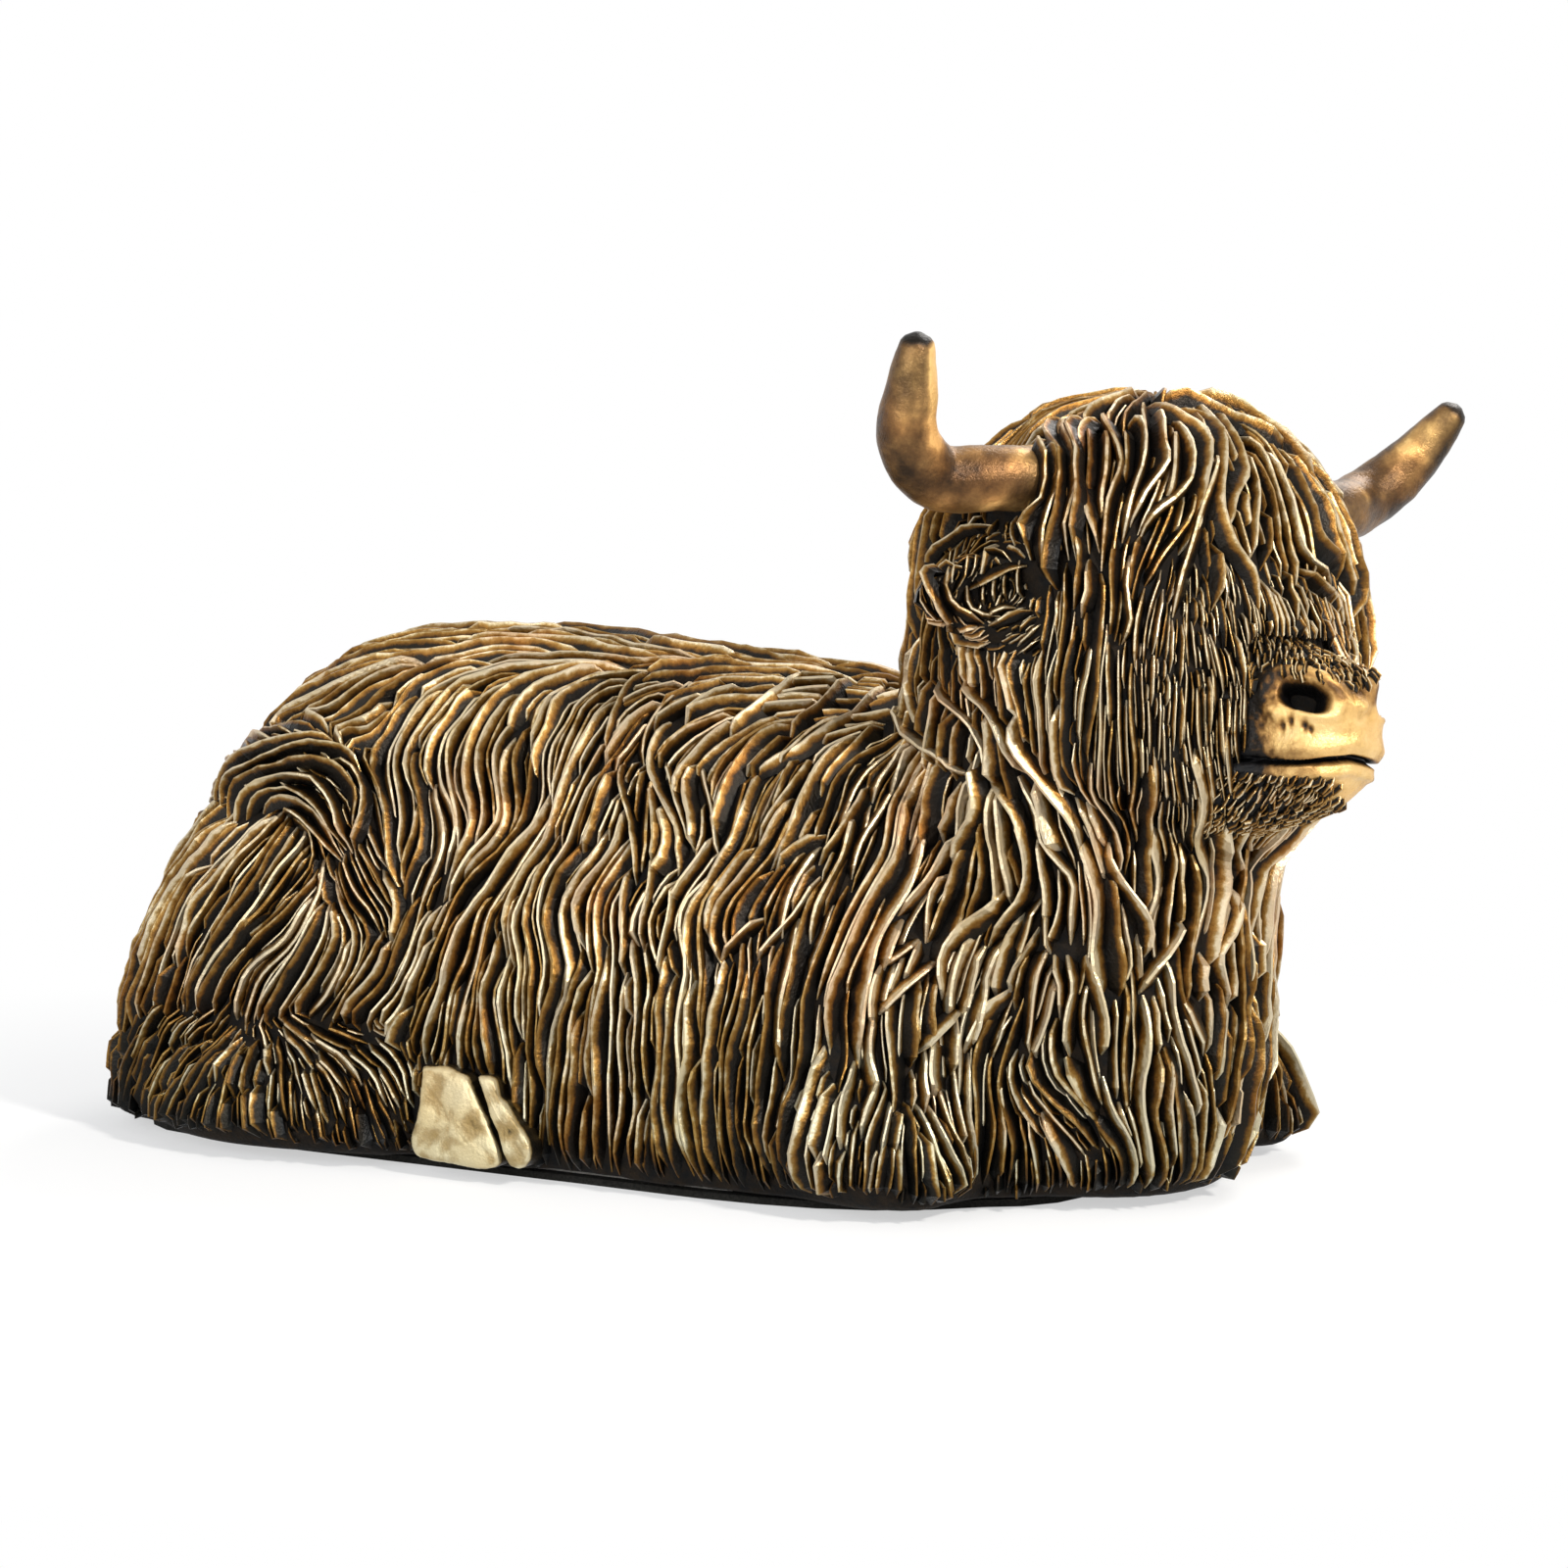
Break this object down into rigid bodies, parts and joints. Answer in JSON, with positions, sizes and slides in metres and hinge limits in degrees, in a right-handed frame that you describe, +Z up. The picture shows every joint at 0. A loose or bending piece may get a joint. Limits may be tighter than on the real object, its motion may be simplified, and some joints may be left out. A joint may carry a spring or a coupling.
{
  "type": "animal figurine",
  "caption": "Bronze-resin shelf ornament of a long-haired highland cow lying down, head raised and turned to its right, on a flat felted base.",
  "frame": {"origin": "on the underside of the felt pad, midway between rump and breast, on the animal's middle plane", "axes": "+X to the animal's front, +Y to its left, +Z up"},
  "size_m": [0.2365, 0.1184, 0.1426],
  "materials": {
    "bronze_resin": "bronze powder in resin, dark patina in the partings, tops of the locks rubbed back to pale gold",
    "horn_bronze_resin": "smooth bronze powder in resin with a mottled dark patina",
    "filler": "rough cast plaster and stone filler",
    "steel": "plain cut wire",
    "felt": "black felt, matt"
  },
  "bodies": {
    "root": {"body_casting": "bronze_resin", "core_filler": "filler", "felt_pad": "felt", "right_neck_dowel": "steel", "left_neck_dowel": "steel", "head_casting": "bronze_resin", "right_horn": "horn_bronze_resin", "right_horn_pin": "steel", "left_horn": "horn_bronze_resin", "left_horn_pin": "steel"}
  },
  "joints": []
}
